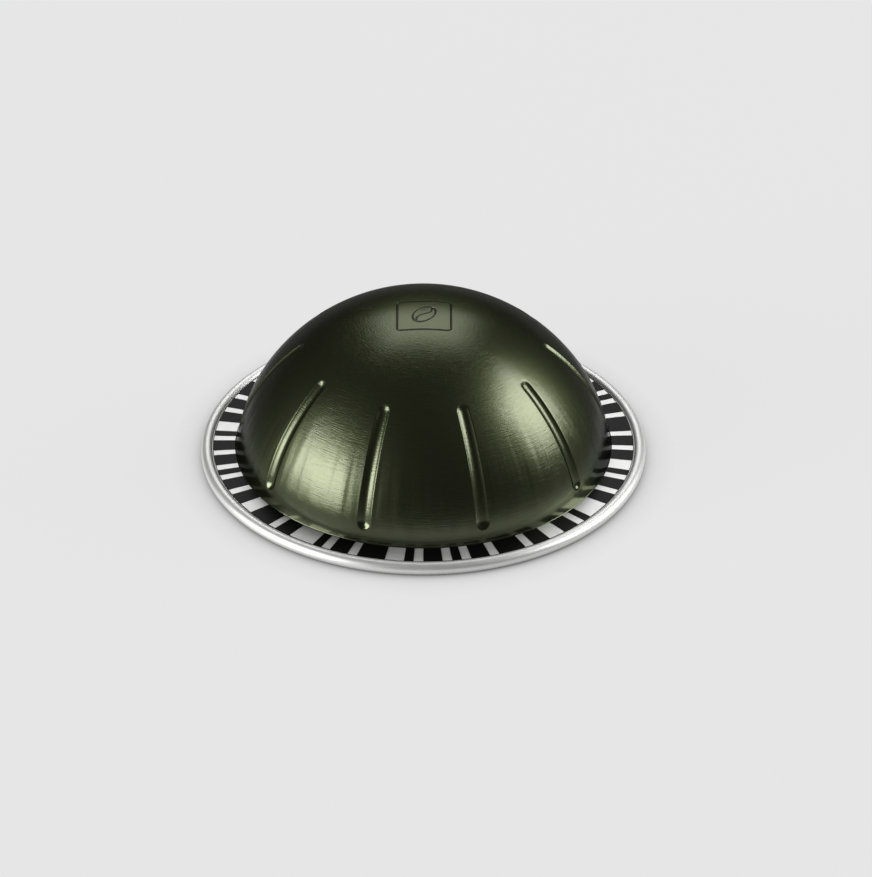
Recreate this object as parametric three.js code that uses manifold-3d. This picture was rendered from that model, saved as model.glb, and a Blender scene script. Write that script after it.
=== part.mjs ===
import * as THREE from "three";
import { mergeVertices, toCreasedNormals } from "three/addons/utils/BufferGeometryUtils.js";
import Module from "manifold-3d";

// Sealed coffee pod: a drawn aluminium cup turned dome up, its flange rolled into a curl,
// a code band printed on the flange and a foil lid sealed under it. The filled cup is one solid.
// Millimetres, +Z up. The origin is under the middle of the dome, on the surface the curl rests on.

// Drawn dome: a straight draft wall, a knee and a crown centred on the axis
const domeBaseRadius = 26.2;
const wallHeight = 2;
const wallAngle = 76;
const kneeRadius = 22.7;
const crownAngle = 55.4;
const footFillet = 0.3;

// Flange and its rolled edge
const flangeWidth = 3.23;
const flangeThickness = 0.25;
const curlRadius = 0.85;
const curlStandUp = 0.4;
const restFlatWidth = 0.56;

// Grooves pressed into the shoulder of the dome, sized along and across its surface
const grooveCount = 10;
const grooveFootDistance = 1.9;
const grooveLength = 17;
const grooveFootWidth = 2;
const grooveTopWidth = 1.75;
const grooveDepth = 0.5;
const grooveFloorWidth = 0.5;
const grooveShoulderDrop = 0.12;

// Foil lid, sealed to the underside of the flange
const lidThickness = 0.1;
const lidClearance = 0.35;

// Code band: dark bars on the bare flange, joined by a thin line round the outside
const bandThickness = 0.05;
const bandFootClearance = 0.1;
const bandCurlClearance = 0.12;
const bandLineWidth = 0.12;
const barCount = 44;
const barPattern = [1, 2, 1, 1, 3, 1, 2];
const gapPattern = [1, 1, 2, 1, 3, 1, 1, 2, 1];

// Facets of the round shapes
const roundSegments = 92;
const domeRings = 16;
const curlSegments = 12;
const filletSegments = 2;
const grooveSegments = 10;
const grooveEndSegments = 4;
const cutterRise = 0.3;
const weldDistance = 0.01;
const creaseAngle = Math.PI / 6;

const radians = THREE.MathUtils.degToRad;

// Heights and radii that follow from the sizes above
const curlCentreHeight = Math.sqrt(curlRadius ** 2 - (restFlatWidth / 2) ** 2);
const flangeTop = curlCentreHeight + curlRadius - curlStandUp;
const flangeUnderside = flangeTop - flangeThickness;
const flangeEdgeRadius = domeBaseRadius + flangeWidth;
const curlCentreRadius = flangeEdgeRadius + Math.sqrt(curlRadius ** 2 - (curlRadius - curlStandUp) ** 2);
const lidSeatRadius = curlCentreRadius - Math.sqrt(curlRadius ** 2 - (flangeUnderside - curlCentreHeight) ** 2);

// Wall, knee and crown run on smoothly into each other
const wallTurn = radians(wallAngle);
const crownTurn = radians(crownAngle);
const wallLength = wallHeight / Math.sin(wallTurn);
const kneeLength = kneeRadius * (wallTurn - crownTurn);
const kneeCentre = new THREE.Vector2(
  domeBaseRadius - wallHeight / Math.tan(wallTurn) - kneeRadius * Math.sin(wallTurn),
  flangeTop + wallHeight - kneeRadius * Math.cos(wallTurn),
);
const crownRadius = kneeCentre.x / Math.sin(crownTurn) + kneeRadius;
const crownCentre = new THREE.Vector2(0, kneeCentre.y + (kneeRadius - crownRadius) * Math.cos(crownTurn));
const filletReach = footFillet * Math.tan(wallTurn / 2);
const domeFootRadius = domeBaseRadius + filletReach;

const wasm = await Module();
wasm.setup();

// Point of a profile arc where the surface has turned by an angle from level; x is the radius, y the height
function arcPoint(centre, radius, turn) {
  return new THREE.Vector2(centre.x + radius * Math.sin(turn), centre.y + radius * Math.cos(turn));
}

function arcPoints(centre, radius, fromTurn, toTurn, segments) {
  const turns = Array.from({ length: segments + 1 }, (_, step) => fromTurn + ((toTurn - fromTurn) * step) / segments);
  return turns.map((turn) => arcPoint(centre, radius, turn));
}

// Point of the dome at a distance up its surface from the foot of the wall, and how far it leans there
function domePointAt(distance) {
  if (distance < wallLength) {
    const rise = distance * Math.sin(wallTurn);
    const point = new THREE.Vector2(domeBaseRadius - rise / Math.tan(wallTurn), flangeTop + rise);
    return { point, turn: wallTurn };
  }
  if (distance < wallLength + kneeLength) {
    const turn = wallTurn - (distance - wallLength) / kneeRadius;
    return { point: arcPoint(kneeCentre, kneeRadius, turn), turn };
  }
  const turn = crownTurn - (distance - wallLength - kneeLength) / crownRadius;
  return { point: arcPoint(crownCentre, crownRadius, turn), turn };
}

function revolve(profile) {
  const geometry = new THREE.LatheGeometry(profile, roundSegments);
  geometry.rotateX(Math.PI / 2);
  return geometry;
}

function curlProfile() {
  const centre = new THREE.Vector2(curlCentreRadius, curlCentreHeight);
  const undersideTurn = -Math.acos((flangeUnderside - curlCentreHeight) / curlRadius);
  const flatTurn = Math.PI - Math.asin(restFlatWidth / 2 / curlRadius);
  const topTurn = -Math.acos((flangeTop - curlCentreHeight) / curlRadius);
  return [
    ...arcPoints(centre, curlRadius, undersideTurn, -flatTurn, curlSegments / 4),
    ...arcPoints(centre, curlRadius, flatTurn, topTurn, curlSegments),
  ];
}

function footFilletProfile() {
  const centre = new THREE.Vector2(domeFootRadius, flangeTop + footFillet);
  return arcPoints(centre, footFillet, Math.PI, Math.PI + wallTurn, filletSegments);
}

function domeProfile() {
  const kneeRings = Math.round((domeRings * (wallAngle - crownAngle)) / wallAngle);
  const knee = arcPoints(kneeCentre, kneeRadius, wallTurn, crownTurn, kneeRings);
  const crown = arcPoints(crownCentre, crownRadius, crownTurn, 0, domeRings - kneeRings);
  return [...knee, ...crown.slice(1)];
}

function cupSolid() {
  const axisFoot = new THREE.Vector2(0, flangeUnderside);
  return toSolid(revolve([axisFoot, ...curlProfile(), ...footFilletProfile(), ...domeProfile()]));
}

// Rows of a groove from its foot to its top: how far along the surface, and how wide at an inset from its edge
function grooveRows(inset) {
  const footHalf = grooveFootWidth / 2;
  const topHalf = grooveTopWidth / 2;
  const footCentre = grooveFootDistance + footHalf;
  const topCentre = grooveFootDistance + grooveLength - topHalf;
  const rows = [];
  for (let step = 0; step <= grooveEndSegments; step += 1) {
    const angle = (Math.PI / 2) * (step / grooveEndSegments);
    const reach = footHalf - inset;
    rows.push({ along: footCentre - reach * Math.cos(angle), half: reach * Math.sin(angle) });
  }
  for (let step = 1; step < grooveSegments; step += 1) {
    const share = step / grooveSegments;
    const half = footHalf + (topHalf - footHalf) * share - inset;
    rows.push({ along: footCentre + (topCentre - footCentre) * share, half });
  }
  for (let step = grooveEndSegments; step >= 0; step -= 1) {
    const angle = (Math.PI / 2) * (step / grooveEndSegments);
    const reach = topHalf - inset;
    rows.push({ along: topCentre + reach * Math.cos(angle), half: reach * Math.sin(angle) });
  }
  return rows;
}

// Loop round a groove at one level, above the surface or sunk below it
function grooveLoop(level, inset) {
  const rows = grooveRows(inset);
  const place = ({ along, half }, side) => {
    const { point, turn } = domePointAt(along);
    const radius = point.x + level * Math.sin(turn);
    const angle = (side * half) / radius;
    const height = point.y + level * Math.cos(turn);
    return new THREE.Vector3(radius * Math.cos(angle), radius * Math.sin(angle), height);
  };
  const oneSide = rows.map((row) => place(row, 1));
  const otherSide = rows.slice(1, -1).reverse().map((row) => place(row, -1));
  return [...oneSide, ...otherSide];
}

// Loft of the loops of a groove, closed across the floor and above the surface
function grooveCutter() {
  const levels = [
    { level: cutterRise, inset: 0 },
    { level: -grooveShoulderDrop, inset: grooveShoulderDrop },
    { level: -grooveDepth, inset: (grooveTopWidth - grooveFloorWidth) / 2 },
  ];
  const loops = levels.map(({ level, inset }) => grooveLoop(level, inset));
  const count = loops[0].length;
  const triangles = [];
  for (let band = 0; band + 1 < loops.length; band += 1) {
    for (let here = 0; here < count; here += 1) {
      const next = (here + 1) % count;
      const corners = [loops[band][here], loops[band][next], loops[band + 1][next], loops[band + 1][here]];
      triangles.push(corners[0], corners[2], corners[1], corners[0], corners[3], corners[2]);
    }
  }
  const floor = loops[loops.length - 1];
  const roof = loops[0];
  for (let here = 0; here < count / 2; here += 1) {
    const across = (count - here) % count;
    const next = here + 1;
    const nextAcross = count - next;
    triangles.push(floor[here], floor[nextAcross], floor[next], floor[here], floor[across], floor[nextAcross]);
    triangles.push(roof[here], roof[next], roof[nextAcross], roof[here], roof[nextAcross], roof[across]);
  }
  return new THREE.BufferGeometry().setFromPoints(triangles);
}

// Closed geometry to a solid, with its shared corners merged
function toSolid(geometry) {
  geometry.deleteAttribute("normal");
  geometry.deleteAttribute("uv");
  const merged = mergeVertices(geometry);
  const vertProperties = new Float32Array(merged.attributes.position.array);
  const corners = merged.index.array;
  const triVerts = [];
  for (let first = 0; first < corners.length; first += 3) {
    const [a, b, c] = [corners[first], corners[first + 1], corners[first + 2]];
    if (a !== b && b !== c && c !== a) {
      triVerts.push(a, b, c);
    }
  }
  return new wasm.Manifold(new wasm.Mesh({ numProp: 3, vertProperties, triVerts: new Uint32Array(triVerts) }));
}

function toGeometry(solid) {
  const mesh = solid.getMesh();
  const geometry = new THREE.BufferGeometry();
  geometry.setAttribute("position", new THREE.BufferAttribute(mesh.vertProperties, 3));
  geometry.setIndex(weldShortEdges(geometry.attributes.position, mesh.triVerts));
  return geometry;
}

// Triangle corners with every edge shorter than the weld distance drawn together
function weldShortEdges(position, corners) {
  const keeper = Array.from({ length: position.count }, (_, corner) => corner);
  const kept = (corner) => (keeper[corner] === corner ? corner : kept(keeper[corner]));
  const start = new THREE.Vector3();
  const end = new THREE.Vector3();
  for (let corner = 0; corner < corners.length; corner += 1) {
    const next = corner % 3 === 2 ? corner - 2 : corner + 1;
    const from = kept(corners[corner]);
    const to = kept(corners[next]);
    start.fromBufferAttribute(position, from);
    end.fromBufferAttribute(position, to);
    if (start.distanceTo(end) < weldDistance) {
      keeper[to] = from;
    }
  }
  const welded = [];
  for (let first = 0; first < corners.length; first += 3) {
    const [a, b, c] = [kept(corners[first]), kept(corners[first + 1]), kept(corners[first + 2])];
    if (a !== b && b !== c && c !== a) {
      welded.push(a, b, c);
    }
  }
  return welded;
}

// Lacquer on the dome down to its foot, bare metal on the flange and the curl
function colourZones(geometry, lacquer, metal) {
  const position = geometry.attributes.position;
  const colours = new Float32Array(position.count * 3);
  for (let corner = 0; corner < position.count; corner += 1) {
    const radius = Math.hypot(position.getX(corner), position.getY(corner));
    const onDome = radius < domeFootRadius && position.getZ(corner) > flangeTop;
    const colour = onDome ? lacquer : metal;
    colour.toArray(colours, corner * 3);
  }
  geometry.setAttribute("color", new THREE.BufferAttribute(colours, 3));
}

// Filled cup with its flange and curl, and the grooves patterned round the shoulder, none of them at the front
function capsuleBody() {
  let cup = cupSolid();
  for (let groove = 0; groove < grooveCount; groove += 1) {
    const cutter = grooveCutter();
    cutter.rotateZ(-Math.PI / 2 + ((groove + 0.5) * 2 * Math.PI) / grooveCount);
    cup = cup.subtract(toSolid(cutter));
  }
  const geometry = toCreasedNormals(toGeometry(cup), creaseAngle);
  colourZones(geometry, new THREE.Color(0x3a4028), new THREE.Color(0xc8cacb));
  const material = new THREE.MeshStandardMaterial({ vertexColors: true, roughness: 0.36, metalness: 0.9 });
  const mesh = new THREE.Mesh(geometry, material);
  mesh.name = "capsule_body";
  return mesh;
}

function foilLid() {
  const radius = lidSeatRadius - lidClearance;
  const geometry = new THREE.CylinderGeometry(radius, radius, lidThickness, roundSegments);
  geometry.rotateX(Math.PI / 2);
  const material = new THREE.MeshStandardMaterial({ color: 0xd2d3d2, roughness: 0.3, metalness: 0.95 });
  const mesh = new THREE.Mesh(geometry, material);
  mesh.name = "foil_lid";
  mesh.position.z = flangeUnderside - lidThickness / 2;
  return mesh;
}

function ringPoints(radius, from, to, segments) {
  return Array.from({ length: segments + 1 }, (_, step) => {
    const angle = from + ((to - from) * step) / segments;
    return new THREE.Vector2(radius * Math.cos(angle), radius * Math.sin(angle));
  });
}

// Bars and gaps round the flange: each takes its width, in modules, from its own repeating pattern
function codeBand() {
  const innerRadius = domeFootRadius + bandFootClearance;
  const outerRadius = flangeEdgeRadius - bandCurlClearance;
  const lineRadius = outerRadius - bandLineWidth;
  const widths = Array.from({ length: barCount }, (_, bar) => ({
    bar: barPattern[bar % barPattern.length],
    gap: gapPattern[bar % gapPattern.length],
  }));
  const moduleCount = widths.reduce((sum, { bar, gap }) => sum + bar + gap, 0);
  const moduleAngle = (2 * Math.PI) / moduleCount;
  const comb = [];
  let reached = 0;
  for (const { bar, gap } of widths) {
    const barEnd = reached + bar;
    const gapEnd = barEnd + gap;
    comb.push(...ringPoints(innerRadius, reached * moduleAngle, barEnd * moduleAngle, bar));
    comb.push(...ringPoints(lineRadius, barEnd * moduleAngle, gapEnd * moduleAngle, gap));
    reached = gapEnd;
  }
  const outline = new THREE.Shape(ringPoints(outerRadius, 0, 2 * Math.PI, moduleCount).slice(0, -1));
  outline.holes.push(new THREE.Path(comb));
  const geometry = new THREE.ExtrudeGeometry(outline, { depth: bandThickness, bevelEnabled: false });
  const material = new THREE.MeshStandardMaterial({ color: 0x0c0d0c, roughness: 0.35, metalness: 0.1 });
  const mesh = new THREE.Mesh(geometry, material);
  mesh.name = "code_band";
  mesh.position.z = flangeTop;
  return mesh;
}

const coffeePod = new THREE.Group();
coffeePod.add(capsuleBody(), foilLid(), codeBand());

export default coffeePod;
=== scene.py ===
import math

import bpy
from mathutils import Matrix, Vector


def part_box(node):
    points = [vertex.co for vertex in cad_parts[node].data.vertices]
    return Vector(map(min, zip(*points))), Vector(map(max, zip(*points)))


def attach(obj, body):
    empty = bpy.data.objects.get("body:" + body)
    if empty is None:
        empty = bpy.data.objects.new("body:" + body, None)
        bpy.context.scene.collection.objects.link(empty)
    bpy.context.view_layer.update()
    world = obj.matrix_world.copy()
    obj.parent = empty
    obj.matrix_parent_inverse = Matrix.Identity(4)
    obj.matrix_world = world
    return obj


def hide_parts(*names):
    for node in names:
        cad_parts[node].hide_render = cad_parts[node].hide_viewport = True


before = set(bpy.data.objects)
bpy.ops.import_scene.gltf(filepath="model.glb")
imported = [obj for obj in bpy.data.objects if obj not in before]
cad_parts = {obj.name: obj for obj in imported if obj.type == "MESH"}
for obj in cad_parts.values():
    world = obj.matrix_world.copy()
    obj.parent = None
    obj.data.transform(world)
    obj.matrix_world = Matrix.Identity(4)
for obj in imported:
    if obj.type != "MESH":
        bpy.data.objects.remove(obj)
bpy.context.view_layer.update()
mm = 0.001
print("frame loaded")


# Helpers that every piece uses

def linearColour(hexValue):
    channels = [int(hexValue[place:place + 2], 16) / 255 for place in (1, 3, 5)]
    linear = [c / 12.92 if c <= 0.04045 else ((c + 0.055) / 1.055) ** 2.4 for c in channels]
    return (*linear, 1.0)


def newMaterial(name):
    material = bpy.data.materials.new(name)
    material.use_nodes = True
    material.node_tree.nodes.clear()
    return material


def addNode(material, kind, values):
    # a value that is another node's output is linked, any other is set on the node or its socket
    node = material.node_tree.nodes.new(kind)
    for name, value in values.items():
        if isinstance(value, bpy.types.NodeSocket):
            material.node_tree.links.new(value, node.inputs[name])
        elif isinstance(name, str) and hasattr(node, name):
            setattr(node, name, value)
        else:
            node.inputs[name].default_value = value
    return node


def ringPlace(material, roundShare, upShare):
    # coordinates that run round the axis and up it with no seam; a small share stretches a pattern that way
    place = addNode(material, "ShaderNodeTexCoord", {}).outputs["Object"]
    flat = addNode(material, "ShaderNodeVectorMath", {"operation": "MULTIPLY", 0: place, 1: (1, 1, 0)})
    radius = addNode(material, "ShaderNodeVectorMath", {"operation": "LENGTH", 0: flat.outputs[0]})
    outward = addNode(material, "ShaderNodeVectorMath", {"operation": "NORMALIZE", 0: flat.outputs[0]})
    around = addNode(material, "ShaderNodeVectorMath", {
        "operation": "SCALE", 0: outward.outputs[0], "Scale": domeFootRadius * roundShare,
    })
    split = addNode(material, "ShaderNodeSeparateXYZ", {0: place})
    rise = addNode(material, "ShaderNodeMath", {
        "operation": "SUBTRACT", 0: split.outputs["Z"], 1: radius.outputs["Value"],
    })
    scaledRise = addNode(material, "ShaderNodeMath", {
        "operation": "MULTIPLY", 0: rise.outputs[0], 1: upShare,
    })
    lift = addNode(material, "ShaderNodeCombineXYZ", {"Z": scaledRise.outputs[0]})
    joined = addNode(material, "ShaderNodeVectorMath", {
        "operation": "ADD", 0: around.outputs[0], 1: lift.outputs[0],
    })
    return {
        "vector": joined.outputs[0],
        "outward": outward.outputs[0],
        "flat": flat.outputs[0],
        "height": split.outputs["Z"],
    }


# Sizes that the pieces share, read from the frame; a box is its low corner and its high corner

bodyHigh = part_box("capsule_body")[1]
rimRadius = bodyHigh[0]
podHeight = bodyHigh[2]
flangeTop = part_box("code_band")[0][2]
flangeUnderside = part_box("foil_lid")[1][2]
weldDistance = 0.002 * mm  # vertices closer than this are one


# Dome: a straight draft wall, a knee and a crown, with ten grooves pressed into its shoulder

dome = {
    "baseRadius": 26.2 * mm,
    "wallHeight": 2 * mm,
    "wallTurn": math.radians(76),
    "kneeRadius": 22.7 * mm,
    "crownTurn": math.radians(55.4),
    "footFillet": 0.12 * mm,
    "filletRows": 4,
    "shoulderRows": 84,
    "crownRows": 34,
    "grooveCount": 10,
    "grooveFoot": 1.9 * mm,
    "grooveLength": 17 * mm,
    "grooveFootWidth": 2.0 * mm,
    "grooveTopWidth": 1.75 * mm,
    "grooveDepth": 0.35 * mm,
    "grooveShoulder": 0.14,
    "grooveColumns": 44,
    "plainColumns": 12,
    "grooveZone": 1.2 * mm,  # half width of the strip of close columns over a groove
    "grooveZoneLimit": 0.6,  # most of the sector that the strip takes near the apex
    "rowsPastGroove": 0.4 * mm,
    "smallestRing": 1.0 * mm,
    "seat": 0.1 * mm,
    "smoothAngle": math.radians(50),
}


def domeLayout():
    # centres, radii and lengths along the surface of the three parts of the dome's section
    wallTurn, crownTurn, kneeRadius = dome["wallTurn"], dome["crownTurn"], dome["kneeRadius"]
    kneeX = dome["baseRadius"] - dome["wallHeight"] / math.tan(wallTurn) - kneeRadius * math.sin(wallTurn)
    kneeZ = flangeTop + dome["wallHeight"] - kneeRadius * math.cos(wallTurn)
    crownRadius = kneeX / math.sin(crownTurn) + kneeRadius
    wallLength = dome["wallHeight"] / math.sin(wallTurn)
    kneeEnd = wallLength + kneeRadius * (wallTurn - crownTurn)
    return {
        "kneeX": kneeX,
        "kneeZ": kneeZ,
        "crownRadius": crownRadius,
        "crownZ": kneeZ + (kneeRadius - crownRadius) * math.cos(crownTurn),
        "wallLength": wallLength,
        "kneeEnd": kneeEnd,
        "apex": kneeEnd + crownRadius * crownTurn,
        "filletReach": dome["footFillet"] * math.tan(wallTurn / 2),
    }


layout = domeLayout()
domeFootRadius = dome["baseRadius"] + layout["filletReach"]


def domePoint(distance):
    # radius, height and lean of the surface at a distance up it from the foot of the wall
    if distance < layout["wallLength"]:
        turn = dome["wallTurn"]
        return dome["baseRadius"] - distance * math.cos(turn), flangeTop + distance * math.sin(turn), turn
    if distance < layout["kneeEnd"]:
        turn = dome["wallTurn"] - (distance - layout["wallLength"]) / dome["kneeRadius"]
        radius = layout["kneeX"] + dome["kneeRadius"] * math.sin(turn)
        return radius, layout["kneeZ"] + dome["kneeRadius"] * math.cos(turn), turn
    turn = max(dome["crownTurn"] - (distance - layout["kneeEnd"]) / layout["crownRadius"], 0.0)
    radius = layout["crownRadius"] * math.sin(turn)
    return radius, layout["crownZ"] + layout["crownRadius"] * math.cos(turn), turn


def grooveSink(distance, across):
    # how deep the groove is at a place on the surface: a round channel with a tight shoulder
    footHalf, topHalf = dome["grooveFootWidth"] / 2, dome["grooveTopWidth"] / 2
    footCentre = dome["grooveFoot"] + footHalf
    topCentre = dome["grooveFoot"] + dome["grooveLength"] - topHalf
    share = min(max((distance - footCentre) / (topCentre - footCentre), 0.0), 1.0)
    nearest = footCentre + (topCentre - footCentre) * share
    half = footHalf + (topHalf - footHalf) * share
    reach = math.hypot(distance - nearest, across) / half
    depth = dome["grooveDepth"] * half / footHalf
    shoulder = dome["grooveShoulder"]
    if reach >= 1:
        return 0.0
    if reach > 1 - shoulder:
        return depth * (1 - reach) ** 2 / shoulder
    return depth * (1 - reach ** 2 / (1 - shoulder))


def domeRows():
    # places of the rows of vertices: round the foot fillet, up the grooved shoulder, over the crown
    shoulderStart = layout["filletReach"]
    shoulderEnd = dome["grooveFoot"] + dome["grooveLength"] + dome["rowsPastGroove"]
    shoulderStep = (shoulderEnd - shoulderStart) / dome["shoulderRows"]
    crownStep = (layout["apex"] - shoulderEnd) / dome["crownRows"]
    rows = [("fillet", dome["wallTurn"] * row / dome["filletRows"]) for row in range(dome["filletRows"])]
    rows += [("surface", shoulderStart + shoulderStep * row) for row in range(dome["shoulderRows"])]
    rows += [("surface", shoulderEnd + crownStep * row) for row in range(dome["crownRows"] + 1)]
    return rows


def sectorAngle(share, radius):
    # columns are close together over the groove and spread evenly beside it
    halfSector = math.pi / dome["grooveCount"]
    widest = halfSector * dome["grooveZoneLimit"]
    zoneAngle = min(dome["grooveZone"] / max(radius, dome["smallestRing"]), widest)
    zoneShare = dome["grooveColumns"] / (dome["grooveColumns"] + dome["plainColumns"])
    if abs(share) <= zoneShare:
        return zoneAngle * share / zoneShare
    beyond = (abs(share) - zoneShare) / (1 - zoneShare)
    return math.copysign(zoneAngle + (halfSector - zoneAngle) * beyond, share)


def domeVertex(row, share):
    kind, value = row
    if kind == "fillet":
        radius = domeFootRadius - dome["footFillet"] * math.sin(value)
        height = flangeTop + dome["footFillet"] * (1 - math.cos(value))
        angle = sectorAngle(share, radius)
    else:
        radius, height, turn = domePoint(value)
        angle = sectorAngle(share, radius)
        sink = grooveSink(value, angle * radius)
        radius -= sink * math.sin(turn)
        height -= sink * math.cos(turn)
    return Vector((radius * math.cos(angle), radius * math.sin(angle), height))


def buildDome():
    rows = domeRows()
    columns = dome["grooveColumns"] + dome["plainColumns"]
    bpy.ops.object.select_all(action="DESELECT")
    bpy.ops.mesh.primitive_grid_add(x_subdivisions=columns, y_subdivisions=len(rows) - 1, size=2)
    piece = bpy.context.active_object
    piece.name = "lacqueredDome"
    for vertex in piece.data.vertices:
        row = round((vertex.co.y + 1) / 2 * (len(rows) - 1))
        vertex.co = domeVertex(rows[row], vertex.co.x)
    # the sector is turned so that the front lies between two grooves, then spun round the axis
    sectorTurn = 2 * math.pi / dome["grooveCount"]
    piece.data.transform(Matrix.Rotation(-math.pi / 2 + sectorTurn / 2, 4, "Z"))
    bpy.ops.object.mode_set(mode="EDIT")
    bpy.ops.mesh.select_all(action="SELECT")
    bpy.ops.mesh.spin(
        steps=dome["grooveCount"] - 1,
        dupli=True,
        angle=2 * math.pi - sectorTurn,
        center=(0, 0, 0),
        axis=(0, 0, 1),
    )
    bpy.ops.mesh.select_all(action="SELECT")
    bpy.ops.mesh.remove_doubles(threshold=weldDistance)
    # the open foot goes down into the flange and is closed there
    bpy.ops.mesh.select_all(action="DESELECT")
    bpy.ops.mesh.select_mode(type="EDGE")
    bpy.ops.mesh.select_non_manifold(extend=False)
    bpy.ops.mesh.extrude_region_move(TRANSFORM_OT_translate={"value": (0, 0, -dome["seat"])})
    bpy.ops.mesh.edge_face_add()
    bpy.ops.mesh.select_all(action="SELECT")
    bpy.ops.mesh.normals_make_consistent(inside=False)
    bpy.ops.object.mode_set(mode="OBJECT")
    bpy.ops.object.shade_smooth_by_angle(angle=dome["smoothAngle"])
    return piece


lacquer = {
    "colour": "#4b5038",
    "edgeTint": "#303029",
    "metallic": 0.94,
    "roughness": 0.33,
    "footRoughness": 0.16,
    "coat": 0.28,
    "coatIor": 1.9,
    "coatRoughness": 0.18,
    "drawLinePitch": 0.16 * mm,  # real ones are finer; drawn as coarse as the render shows
    "drawLineRun": 0.07,  # share of the way round, so that the pattern is drawn out round the cup
    "drawLineDepth": 0.022 * mm,
    "drawLineTones": ("#454a33", "#52573d"),
    "streakPitch": 1.5 * mm,
    "streakRun": 0.06,  # share of the way up, so that the pattern is drawn out up the side
    "streakDetail": 0.7,
    "streakFade": (5 * mm, 14 * mm),  # heights over the flange
    "ironedWall": (1.2 * mm, 4 * mm),
    "streakDepth": 0.13 * mm,
    "frameCentre": (0.1 * mm, -1.05 * mm),
    "frameSize": (7.3 * mm, 7.0 * mm),
    "frameCorner": 0.55 * mm,
    "lineWidth": 0.32 * mm,
    "lineDepth": 0.2 * mm,
    "lineFloor": 0.25,  # share of a pressed line's width that is flat
    # painted shade that darkens the pressed frame and bean lines
    "paintedLineShade": "#6a6a60",
    "pressedZone": 3 * mm,  # height under the apex that holds the pressed lines
    "beanHalf": (1.35 * mm, 2.0 * mm),
    "beanTurn": math.radians(32),
    "beanSeam": 0.42 * mm,
    "beanSeamEnd": 0.97,
}


def pressedLine(material, distance):
    # 1 along the middle of a pressed line and 0 outside it, with soft sides
    away = addNode(material, "ShaderNodeMath", {"operation": "ABSOLUTE", 0: distance})
    line = addNode(material, "ShaderNodeMapRange", {
        "interpolation_type": "SMOOTHSTEP",
        "Value": away.outputs[0],
        "From Min": lacquer["lineWidth"] / 2 * lacquer["lineFloor"],
        "From Max": lacquer["lineWidth"] / 2,
        "To Min": 1.0,
        "To Max": 0.0,
    })
    return line.outputs["Result"]


def pressedFrame(material, offset):
    # outline of a square with rounded corners
    corner = lacquer["frameCorner"]
    width, depth = lacquer["frameSize"]
    away = addNode(material, "ShaderNodeVectorMath", {"operation": "ABSOLUTE", 0: offset})
    past = addNode(material, "ShaderNodeVectorMath", {
        "operation": "SUBTRACT", 0: away.outputs[0], 1: (width / 2 - corner, depth / 2 - corner, 0),
    })
    clipped = addNode(material, "ShaderNodeVectorMath", {
        "operation": "MAXIMUM", 0: past.outputs[0], 1: (0, 0, 0),
    })
    length = addNode(material, "ShaderNodeVectorMath", {"operation": "LENGTH", 0: clipped.outputs[0]})
    distance = addNode(material, "ShaderNodeMath", {
        "operation": "SUBTRACT", 0: length.outputs["Value"], 1: corner,
    })
    return pressedLine(material, distance.outputs[0])


def pressedBean(material, offset):
    # outline of a plain coffee bean and the curved seam along it
    halfWidth, halfLength = lacquer["beanHalf"]
    mean = (halfWidth + halfLength) / 2
    turned = addNode(material, "ShaderNodeVectorRotate", {
        "rotation_type": "Z_AXIS", "Vector": offset, "Angle": lacquer["beanTurn"],
    })
    scaled = addNode(material, "ShaderNodeVectorMath", {
        "operation": "DIVIDE", 0: turned.outputs[0], 1: (halfWidth, halfLength, 1),
    })
    oval = addNode(material, "ShaderNodeVectorMath", {"operation": "LENGTH", 0: scaled.outputs[0]})
    toOutline = addNode(material, "ShaderNodeMath", {
        "operation": "MULTIPLY_ADD", 0: oval.outputs["Value"], 1: mean, 2: -mean,
    })
    outline = pressedLine(material, toOutline.outputs[0])
    across = addNode(material, "ShaderNodeSeparateXYZ", {0: turned.outputs[0]})
    along = addNode(material, "ShaderNodeSeparateXYZ", {0: scaled.outputs[0]})
    angle = addNode(material, "ShaderNodeMath", {"operation": "MULTIPLY", 0: along.outputs["Y"], 1: math.pi})
    wave = addNode(material, "ShaderNodeMath", {"operation": "SINE", 0: angle.outputs[0]})
    toSeam = addNode(material, "ShaderNodeMath", {
        "operation": "MULTIPLY_ADD", 0: wave.outputs[0], 1: -lacquer["beanSeam"], 2: across.outputs["X"],
    })
    inside = addNode(material, "ShaderNodeMath", {
        "operation": "LESS_THAN", 0: oval.outputs["Value"], 1: lacquer["beanSeamEnd"],
    })
    seam = addNode(material, "ShaderNodeMath", {
        "operation": "MULTIPLY", 0: pressedLine(material, toSeam.outputs[0]), 1: inside.outputs[0],
    })
    bean = addNode(material, "ShaderNodeMath", {"operation": "MAXIMUM", 0: outline, 1: seam.outputs[0]})
    return bean.outputs[0]


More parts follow.
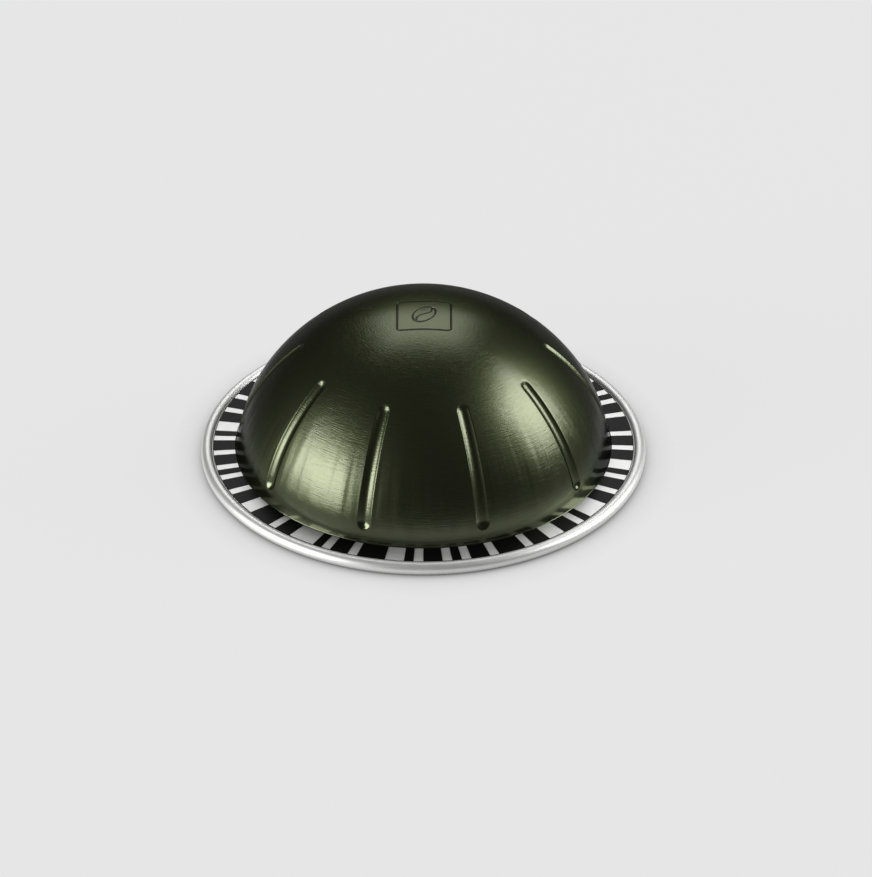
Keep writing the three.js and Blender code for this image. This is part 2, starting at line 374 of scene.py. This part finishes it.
def lacqueredAluminium():
    # Dark green lacquer baked on drawn aluminium. The draw leaves fine lines round the cup and soft
    # streaks up its side, so the broad satin highlight is grained and breaks up towards the foot.
    material = newMaterial("lacqueredDrawnAluminium")
    linePlace = ringPlace(material, lacquer["drawLineRun"], 1.0)
    drawLines = addNode(material, "ShaderNodeTexNoise", {
        "Vector": linePlace["vector"], "Scale": 1 / lacquer["drawLinePitch"], "Detail": 2.0, "Roughness": 0.5,
    }).outputs["Fac"]
    streakPlace = ringPlace(material, 1.0, lacquer["streakRun"])
    streaks = addNode(material, "ShaderNodeTexNoise", {
        "Vector": streakPlace["vector"],
        "Scale": 1 / lacquer["streakPitch"],
        "Detail": lacquer["streakDetail"],
        "Roughness": 0.5,
    }).outputs["Fac"]
    # the streaks fade out towards the crown; the ironed wall at the foot is smooth and mirrors the band
    belowCrown = addNode(material, "ShaderNodeMapRange", {
        "interpolation_type": "SMOOTHSTEP",
        "Value": linePlace["height"],
        "From Min": flangeTop + lacquer["streakFade"][0],
        "From Max": flangeTop + lacquer["streakFade"][1],
        "To Min": 1.0,
        "To Max": 0.0,
    }).outputs["Result"]
    aboveFoot = addNode(material, "ShaderNodeMapRange", {
        "interpolation_type": "SMOOTHSTEP",
        "Value": linePlace["height"],
        "From Min": flangeTop + lacquer["ironedWall"][0],
        "From Max": flangeTop + lacquer["ironedWall"][1],
    }).outputs["Result"]
    shoulderOnly = addNode(material, "ShaderNodeMath", {"operation": "MULTIPLY", 0: belowCrown, 1: aboveFoot})
    streakHeight = addNode(material, "ShaderNodeMath", {
        "operation": "MULTIPLY", 0: streaks, 1: shoulderOnly.outputs[0],
    })
    lineHeight = addNode(material, "ShaderNodeMath", {"operation": "MULTIPLY", 0: drawLines, 1: aboveFoot})
    roughness = addNode(material, "ShaderNodeMapRange", {
        "Value": aboveFoot, "To Min": lacquer["footRoughness"], "To Max": lacquer["roughness"],
    })
    coatRoughness = addNode(material, "ShaderNodeMapRange", {
        "Value": aboveFoot, "To Min": lacquer["footRoughness"], "To Max": lacquer["coatRoughness"],
    })
    # the small frame with its bean is pressed in near the apex; its lines are also darkened in colour with
    # painted shade
    offset = addNode(material, "ShaderNodeVectorMath", {
        "operation": "SUBTRACT", 0: linePlace["flat"], 1: (*lacquer["frameCentre"], 0),
    }).outputs[0]
    frameAndBean = addNode(material, "ShaderNodeMath", {
        "operation": "MAXIMUM", 0: pressedFrame(material, offset), 1: pressedBean(material, offset),
    })
    onTop = addNode(material, "ShaderNodeMath", {
        "operation": "GREATER_THAN", 0: linePlace["height"], 1: podHeight - lacquer["pressedZone"],
    })
    pressed = addNode(material, "ShaderNodeMath", {
        "operation": "MULTIPLY", 0: frameAndBean.outputs[0], 1: onTop.outputs[0],
    }).outputs[0]
    lineBump = addNode(material, "ShaderNodeBump", {
        "Height": lineHeight.outputs[0], "Distance": lacquer["drawLineDepth"],
    })
    streakBump = addNode(material, "ShaderNodeBump", {
        "Height": streakHeight.outputs[0], "Distance": lacquer["streakDepth"], "Normal": lineBump.outputs[0],
    })
    bump = addNode(material, "ShaderNodeBump", {
        "invert": True, "Height": pressed, "Distance": lacquer["lineDepth"], "Normal": streakBump.outputs[0],
    }).outputs[0]
    darkLine, paleLine = lacquer["drawLineTones"]
    grain = addNode(material, "ShaderNodeMix", {
        "data_type": "RGBA", 0: drawLines, 6: linearColour(darkLine), 7: linearColour(paleLine),
    })
    # painted shade: the pressed lines are darkened in colour as well as bumped
    grainWithLineShade = addNode(material, "ShaderNodeMix", {
        "data_type": "RGBA", "blend_type": "MULTIPLY",
        0: pressed, 6: grain.outputs[2], 7: linearColour(lacquer["paintedLineShade"]),
    })
    shader = addNode(material, "ShaderNodeBsdfPrincipled", {
        "Base Color": grainWithLineShade.outputs[2],
        "Metallic": lacquer["metallic"],
        "Roughness": roughness.outputs["Result"],
        "Specular Tint": linearColour(lacquer["edgeTint"]),
        "Coat Weight": lacquer["coat"],
        "Coat IOR": lacquer["coatIor"],
        "Coat Roughness": coatRoughness.outputs["Result"],
        "Normal": bump,
        "Coat Normal": bump,
    })
    addNode(material, "ShaderNodeOutputMaterial", {"Surface": shader.outputs[0]})
    return material


domePiece = buildDome()
domePiece.data.materials.append(lacqueredAluminium())
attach(domePiece, "root")
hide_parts("capsule_body")
print("dome built:", len(domePiece.data.polygons), "faces")


# Flange and curl: the same sheet, turned out flat and rolled under at its edge

flange = {
    "curlRadius": 0.85 * mm,
    "restFlat": 0.56 * mm,
    "innerRadius": 25.8 * mm,
    "segments": 300,
    "arcSteps": 44,
    "bendStart": 0.1 * mm,
    "smoothAngle": math.radians(24),
}


# middle of the curl, where it leaves the flange's top and where it comes back to its underside
curlX = rimRadius - flange["curlRadius"]
curlZ = math.sqrt(flange["curlRadius"] ** 2 - (flange["restFlat"] / 2) ** 2)
curlStart = math.pi - math.asin((flangeTop - curlZ) / flange["curlRadius"])
curlEnd = -math.pi - math.asin((flangeUnderside - curlZ) / flange["curlRadius"])
curlFootRadius = curlX + flange["curlRadius"] * math.cos(curlStart)


def flangeSection():
    # closed section from under the dome's foot, out over the flange, round the curl and back below
    bendRadius = curlFootRadius - flange["bendStart"]
    section = [(flange["innerRadius"], flangeTop), (domeFootRadius, flangeTop), (bendRadius, flangeTop)]
    for step in range(flange["arcSteps"] + 1):
        angle = curlStart + (curlEnd - curlStart) * step / flange["arcSteps"]
        height = curlZ + flange["curlRadius"] * math.sin(angle)
        section.append((curlX + flange["curlRadius"] * math.cos(angle), max(height, 0.0)))
    section.append((flange["innerRadius"], flangeUnderside))
    return section


def buildFlange():
    section = flangeSection()
    bpy.ops.object.select_all(action="DESELECT")
    bpy.ops.mesh.primitive_circle_add(vertices=len(section), radius=1, fill_type="NOTHING")
    piece = bpy.context.active_object
    piece.name = "flangeAndCurl"
    for vertex, (radius, height) in zip(piece.data.vertices, section):
        vertex.co = (radius, 0, height)
    bpy.ops.object.mode_set(mode="EDIT")
    bpy.ops.mesh.select_all(action="SELECT")
    bpy.ops.mesh.spin(steps=flange["segments"], angle=2 * math.pi, center=(0, 0, 0), axis=(0, 0, 1))
    bpy.ops.mesh.select_all(action="SELECT")
    bpy.ops.mesh.remove_doubles(threshold=weldDistance)
    bpy.ops.mesh.normals_make_consistent(inside=False)
    bpy.ops.object.mode_set(mode="OBJECT")
    bpy.ops.object.shade_smooth_by_angle(angle=flange["smoothAngle"])
    return piece


bareMetal = {
    "colour": "#f0f0ef",
    "metallic": 0.76,
    "roughness": 0.46,
    "roughnessSwing": 0.07,
    "stretch": 0.2,
    "markRun": 0.25,  # share of the way round, so that the marks are drawn out round the rim
    "markPitch": 0.4 * mm,
    "markDepth": 0.0025 * mm,
}


def bareAluminium():
    # Bare rolled aluminium, dulled by the rolling. Fine marks run round the rim, so its highlights are
    # soft and drawn out across it, and some of its light comes back evenly.
    material = newMaterial("bareRolledAluminium")
    place = ringPlace(material, bareMetal["markRun"], 1.0)
    marks = addNode(material, "ShaderNodeTexNoise", {
        "Vector": place["vector"], "Scale": 1 / bareMetal["markPitch"], "Detail": 4.0, "Roughness": 0.65,
    }).outputs["Fac"]
    bump = addNode(material, "ShaderNodeBump", {"Height": marks, "Distance": bareMetal["markDepth"]})
    roughness = addNode(material, "ShaderNodeMapRange", {
        "Value": marks,
        "To Min": bareMetal["roughness"] - bareMetal["roughnessSwing"],
        "To Max": bareMetal["roughness"] + bareMetal["roughnessSwing"],
    })
    shader = addNode(material, "ShaderNodeBsdfPrincipled", {
        "Base Color": linearColour(bareMetal["colour"]),
        "Metallic": bareMetal["metallic"],
        "Roughness": roughness.outputs["Result"],
        "Anisotropic": bareMetal["stretch"],
        "Tangent": place["outward"],
        "Normal": bump.outputs[0],
    })
    addNode(material, "ShaderNodeOutputMaterial", {"Surface": shader.outputs[0]})
    return material


flangePiece = buildFlange()
flangePiece.data.materials.append(bareAluminium())
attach(flangePiece, "root")
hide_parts("capsule_body")
print("flange and curl built:", len(flangePiece.data.polygons), "faces")


# Code band: bars of ink in steps of one unit round the flange, and the line that closes them outside

band = {
    "units": 144,
    "stepsPerUnit": 3,
    "bars": (2, 1, 2, 3, 2, 2, 1, 2, 2, 1, 2, 2, 3),
    "gaps": (1, 1, 1, 1, 2, 1, 3, 1, 1, 2, 1),
    "startTurn": math.radians(-90),
    "curlClearance": 0.06 * mm,
    "lineWidth": 0.1 * mm,
    "inkHeight": 0.05 * mm,
}


def inkedUnits():
    # units that a bar covers; one unit stays bare where the round closes
    inked, place, turn = set(), 0, 0
    while place < band["units"] - 1:
        end = min(place + band["bars"][turn % len(band["bars"])], band["units"] - 1)
        inked.update(range(place, end))
        place = end + band["gaps"][turn % len(band["gaps"])]
        turn += 1
    return inked


def buildBand():
    outerRadius = curlFootRadius - band["curlClearance"]
    lineRadius = outerRadius - band["lineWidth"]
    steps = band["units"] * band["stepsPerUnit"]
    bpy.ops.object.select_all(action="DESELECT")
    bpy.ops.mesh.primitive_circle_add(vertices=steps, radius=domeFootRadius, fill_type="NOTHING")
    piece = bpy.context.active_object
    piece.name = "printedCodeBand"
    bpy.ops.object.mode_set(mode="EDIT")
    bpy.ops.mesh.select_all(action="SELECT")
    for here, after in ((domeFootRadius, lineRadius), (lineRadius, outerRadius)):
        bpy.ops.mesh.extrude_region_move()
        bpy.ops.transform.resize(value=(after / here, after / here, 1), center_override=(0, 0, 0))
    bpy.ops.mesh.select_mode(type="FACE")
    bpy.ops.mesh.select_all(action="DESELECT")
    bpy.ops.object.mode_set(mode="OBJECT")
    inked = inkedUnits()
    for face in piece.data.polygons:
        angle = math.atan2(face.center.y, face.center.x) - band["startTurn"]
        unit = math.floor(angle / (2 * math.pi) * band["units"]) % band["units"]
        face.select = unit not in inked and math.hypot(face.center.x, face.center.y) < lineRadius
    bpy.ops.object.mode_set(mode="EDIT")
    bpy.ops.mesh.delete(type="FACE")
    bpy.ops.mesh.select_all(action="SELECT")
    bpy.ops.transform.translate(value=(0, 0, flangeTop))
    bpy.ops.mesh.extrude_region_move(TRANSFORM_OT_translate={"value": (0, 0, band["inkHeight"])})
    bpy.ops.mesh.select_all(action="SELECT")
    bpy.ops.mesh.normals_make_consistent(inside=False)
    bpy.ops.object.mode_set(mode="OBJECT")
    return piece


ink = {
    "colour": "#080808",
    "specular": 0.1,
    "roughness": (0.3, 0.42),
    "grainPitch": 0.3 * mm,
    "grainDepth": 0.005 * mm,
    "grainStrength": 0.3,
}


def printingInk():
    # Black printing ink rolled on in one thin coat. It is nearly matt and deep black, and the grain of
    # the metal under it breaks its faint sheen.
    material = newMaterial("blackPrintingInk")
    place = addNode(material, "ShaderNodeTexCoord", {}).outputs["Object"]
    grain = addNode(material, "ShaderNodeTexNoise", {
        "Vector": place, "Scale": 1 / ink["grainPitch"], "Detail": 3.0,
    }).outputs["Fac"]
    roughness = addNode(material, "ShaderNodeMapRange", {
        "Value": grain, "To Min": ink["roughness"][0], "To Max": ink["roughness"][1],
    })
    bump = addNode(material, "ShaderNodeBump", {
        "Height": grain, "Strength": ink["grainStrength"], "Distance": ink["grainDepth"],
    })
    shader = addNode(material, "ShaderNodeBsdfPrincipled", {
        "Base Color": linearColour(ink["colour"]),
        "Roughness": roughness.outputs["Result"],
        "Specular IOR Level": ink["specular"],
        "Normal": bump.outputs[0],
    })
    addNode(material, "ShaderNodeOutputMaterial", {"Surface": shader.outputs[0]})
    return material


bandPiece = buildBand()
bandPiece.data.materials.append(printingInk())
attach(bandPiece, "root")
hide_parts("code_band")
print("code band built:", len(bandPiece.data.polygons), "faces")


# Foil lid: carried over from the frame and given its finish

lid = {
    "colour": "#d0d1d0",
    "roughness": 0.28,
    "ripplePitch": 9 * mm,
    "rippleDepth": 0.3 * mm,
    "rippleStrength": 0.6,
    "dotPitch": 0.7 * mm,
    "dotDepth": 0.05 * mm,
    "dotStrength": 0.35,
}


def liddingFoil():
    # Aluminium lidding foil, heat-sealed under the flange. It is bright, slack in slow ripples, and
    # has the fine dot pattern of the rollers pressed into it.
    material = newMaterial("aluminiumLiddingFoil")
    place = addNode(material, "ShaderNodeTexCoord", {}).outputs["Object"]
    ripples = addNode(material, "ShaderNodeTexNoise", {
        "Vector": place, "Scale": 1 / lid["ripplePitch"], "Detail": 2.0,
    })
    dots = addNode(material, "ShaderNodeTexVoronoi", {
        "Vector": place, "Scale": 1 / lid["dotPitch"], "Randomness": 0.0,
    })
    rippleBump = addNode(material, "ShaderNodeBump", {
        "Height": ripples.outputs["Fac"], "Strength": lid["rippleStrength"], "Distance": lid["rippleDepth"],
    })
    dotBump = addNode(material, "ShaderNodeBump", {
        "Height": dots.outputs["Distance"],
        "Strength": lid["dotStrength"],
        "Distance": lid["dotDepth"],
        "Normal": rippleBump.outputs[0],
    })
    shader = addNode(material, "ShaderNodeBsdfPrincipled", {
        "Base Color": linearColour(lid["colour"]),
        "Metallic": 1.0,
        "Roughness": lid["roughness"],
        "Normal": dotBump.outputs[0],
    })
    addNode(material, "ShaderNodeOutputMaterial", {"Surface": shader.outputs[0]})
    return material


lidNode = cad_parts["foil_lid"]
lidNode.data.materials.clear()
lidNode.data.materials.append(liddingFoil())
print("foil lid finished")


# Floor, light and camera

studio = {
    "floorSize": 8.0,
    "floorGlow": 0.725,
    "floorSeenColour": "#505050",
    "floorPlainColour": "#8c8c8c",
    "contactReach": 4.5 * mm,
    "contactSamples": 8,
    "mirroredNear": 33 * mm,
    "mirroredFar": 60 * mm,
    "worldStrength": 0.055,
    "lampDistance": 1.6,
    "lampAim": 10 * mm,  # height of the place that the lamps face
    "lamps": {
        "leftSoftbox": {"azimuth": -67, "elevation": 15.5, "size": (1.1, 0.8), "radiance": 8.8},
        "rightSoftbox": {"azimuth": 99, "elevation": 33, "size": (0.85, 0.9), "radiance": 7.9},
        "backPanel": {"azimuth": 180, "elevation": 45, "size": (0.95, 0.93), "radiance": 2.25},
    },
}


def studioFloor():
    # pale even floor: the camera sees it glow, with a painted soft shadow that dims the glow close to the pod
    # as soft light from all sides would, and it keeps the shadows of the lamps
    bpy.ops.object.select_all(action="DESELECT")
    bpy.ops.mesh.primitive_plane_add(size=studio["floorSize"], location=(0, 0, 0))
    floor = bpy.context.active_object
    floor.name = "studioFloor"
    material = newMaterial("paleFloor")
    paintedContactShadow = addNode(material, "ShaderNodeAmbientOcclusion", {
        "samples": studio["contactSamples"], "Distance": studio["contactReach"],
    })
    strength = addNode(material, "ShaderNodeMath", {
        "operation": "MULTIPLY", 0: paintedContactShadow.outputs["AO"], 1: studio["floorGlow"],
    })
    glow = addNode(material, "ShaderNodeEmission", {"Strength": strength.outputs[0]})
    lit = addNode(material, "ShaderNodeBsdfDiffuse", {"Color": linearColour(studio["floorSeenColour"])})
    seen = addNode(material, "ShaderNodeAddShader", {0: glow.outputs[0], 1: lit.outputs[0]})
    plain = addNode(material, "ShaderNodeBsdfDiffuse", {"Color": linearColour(studio["floorPlainColour"])})
    # the metal mirrors the glow near the pod and the plain floor further out, so the dome's foot stays dark
    path = addNode(material, "ShaderNodeLightPath", {}).outputs
    place = addNode(material, "ShaderNodeTexCoord", {}).outputs["Object"]
    away = addNode(material, "ShaderNodeVectorMath", {"operation": "LENGTH", 0: place})
    nearPod = addNode(material, "ShaderNodeMapRange", {
        "interpolation_type": "SMOOTHSTEP",
        "Value": away.outputs["Value"],
        "From Min": studio["mirroredNear"],
        "From Max": studio["mirroredFar"],
        "To Min": 1.0,
        "To Max": 0.0,
    })
    mirroring = addNode(material, "ShaderNodeMath", {
        "operation": "ADD", 0: path["Is Glossy Ray"], 1: path["Is Transmission Ray"],
    })
    seenRay = addNode(material, "ShaderNodeMath", {
        "operation": "MULTIPLY_ADD", "use_clamp": True,
        0: mirroring.outputs[0], 1: nearPod.outputs["Result"], 2: path["Is Camera Ray"],
    })
    shader = addNode(material, "ShaderNodeMixShader", {
        0: seenRay.outputs[0], 1: plain.outputs[0], 2: seen.outputs[0],
    })
    addNode(material, "ShaderNodeOutputMaterial", {"Surface": shader.outputs[0]})
    floor.data.materials.append(material)


def studioLight():
    # large soft lamps; azimuth runs from the camera's side towards +X
    for name, lamp in studio["lamps"].items():
        data = bpy.data.lights.new(name, "AREA")
        data.shape = "RECTANGLE"
        data.size, data.size_y = lamp["size"]
        data.energy = lamp["radiance"] * math.pi * data.size * data.size_y
        box = bpy.data.objects.new(name, data)
        bpy.context.scene.collection.objects.link(box)
        turn, rise = math.radians(lamp["azimuth"]), math.radians(lamp["elevation"])
        level = math.cos(rise)
        direction = Vector((math.sin(turn) * level, -math.cos(turn) * level, math.sin(rise)))
        box.location = direction * studio["lampDistance"] + Vector((0, 0, studio["lampAim"]))
        box.rotation_euler = direction.to_track_quat("Z", "Y").to_euler()
        box.visible_camera = False
    world = bpy.data.worlds.new("studioWorld")
    bpy.context.scene.world = world
    world.use_nodes = True
    background = world.node_tree.nodes["Background"]
    background.inputs["Color"].default_value = (1, 1, 1, 1)
    background.inputs["Strength"].default_value = studio["worldStrength"]


view = {
    "elevation": math.radians(32.85),
    "distance": 0.400,
    "focalPixels": 2862.5,
    "frameWidth": 872,
    "frameHeight": 877,
    "podX": 423.4,
    "podY": 440.5,
    "sensor": 36.0,
    "clipStart": 10 * mm,
}


def photoCamera():
    # looks at the middle of the flange's top; the shift puts it where the photo has it
    data = bpy.data.cameras.new("photoCamera")
    camera = bpy.data.objects.new("photoCamera", data)
    bpy.context.scene.collection.objects.link(camera)
    direction = Vector((0, -math.cos(view["elevation"]), math.sin(view["elevation"])))
    camera.location = Vector((0, 0, flangeTop)) + direction * view["distance"]
    camera.rotation_euler = direction.to_track_quat("Z", "Y").to_euler()
    longSide = max(view["frameWidth"], view["frameHeight"])
    data.sensor_width = view["sensor"]
    data.lens = view["focalPixels"] / longSide * view["sensor"]
    data.shift_x = (view["frameWidth"] / 2 - view["podX"]) / longSide
    data.shift_y = (view["podY"] - view["frameHeight"] / 2) / longSide
    data.clip_start = view["clipStart"]
    bpy.context.scene.camera = camera


studioFloor()
studioLight()
photoCamera()
bpy.context.scene.view_settings.view_transform = "Standard"
print("floor, light and camera set")
